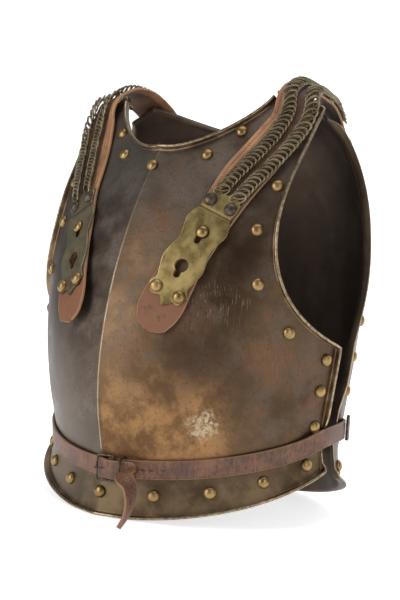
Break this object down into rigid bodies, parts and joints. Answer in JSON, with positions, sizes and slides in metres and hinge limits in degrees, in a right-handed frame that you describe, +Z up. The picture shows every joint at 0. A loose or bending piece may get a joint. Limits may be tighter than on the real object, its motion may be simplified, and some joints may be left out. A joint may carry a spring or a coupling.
{
  "type": "cuirass",
  "caption": "Heavy-cavalry cuirass: keeled breastplate and backplate joined by chained shoulder straps with brass keyhole plates and a buckled leather waist belt.",
  "frame": {"origin": "middle of the bounding box, at floor level under the waist flanges", "axes": "+Z up, the breast faces -Y, the wearer's left is +X"},
  "size_m": [0.3722, 0.3312, 0.4525],
  "materials": {
    "steel": "worn steel with a grey-brown patina and golden rust near the waist",
    "back_steel": "dark brown patina",
    "brass": "worn dull brass",
    "strap_brass": "tarnished olive brass",
    "iron": "dark, part rusted",
    "chain": "pale tarnished brass wire",
    "leather": "tan, dry and stained",
    "belt": "red-brown, dry and cracked"
  },
  "bodies": {
    "root": {"arm_rivet_left_1": "brass", "arm_rivet_left_2": "brass", "arm_rivet_left_3": "brass", "arm_rivet_left_4": "brass", "arm_rivet_right_1": "brass", "arm_rivet_right_2": "brass", "arm_rivet_right_3": "brass", "arm_rivet_right_4": "brass", "backplate": "back_steel", "belt_keeper": "iron", "belt_left": "belt", "belt_right": "belt", "belt_tab_left": "iron", "belt_tab_right": "iron", "breastplate": "steel", "buckle_frame": "iron", "buckle_prong": "iron", "chain_left_inner": "chain", "chain_left_outer": "chain", "chain_right_inner": "chain", "chain_right_outer": "chain", "flange_rivet_left_1": "brass", "flange_rivet_left_2": "brass", "flange_rivet_left_3": "brass", "flange_rivet_left_4": "brass", "flange_rivet_middle": "brass", "flange_rivet_right_1": "brass", "flange_rivet_right_2": "brass", "flange_rivet_right_3": "brass", "flange_rivet_right_4": "brass", "iron_rivet_left_1": "iron", "iron_rivet_left_2": "iron", "iron_rivet_right_1": "iron", "iron_rivet_right_2": "iron", "neck_rivet_left_1": "brass", "neck_rivet_left_2": "brass", "neck_rivet_middle": "brass", "neck_rivet_right_1": "brass", "neck_rivet_right_2": "brass", "plate_rivet_left_1": "brass", "plate_rivet_left_2": "brass", "plate_rivet_right_1": "brass", "plate_rivet_right_2": "brass", "rear_strap_plate_left": "strap_brass", "rear_strap_plate_right": "strap_brass", "shoulder_leather_left": "leather", "shoulder_leather_right": "leather", "shoulder_plate_left": "strap_brass", "shoulder_plate_right": "strap_brass", "side_rivet_left_1": "brass", "side_rivet_left_2": "brass", "side_rivet_left_3": "brass", "side_rivet_right_1": "brass", "side_rivet_right_2": "brass", "side_rivet_right_3": "brass", "strap_button_left": "iron", "strap_button_right": "iron"}
  },
  "joints": []
}
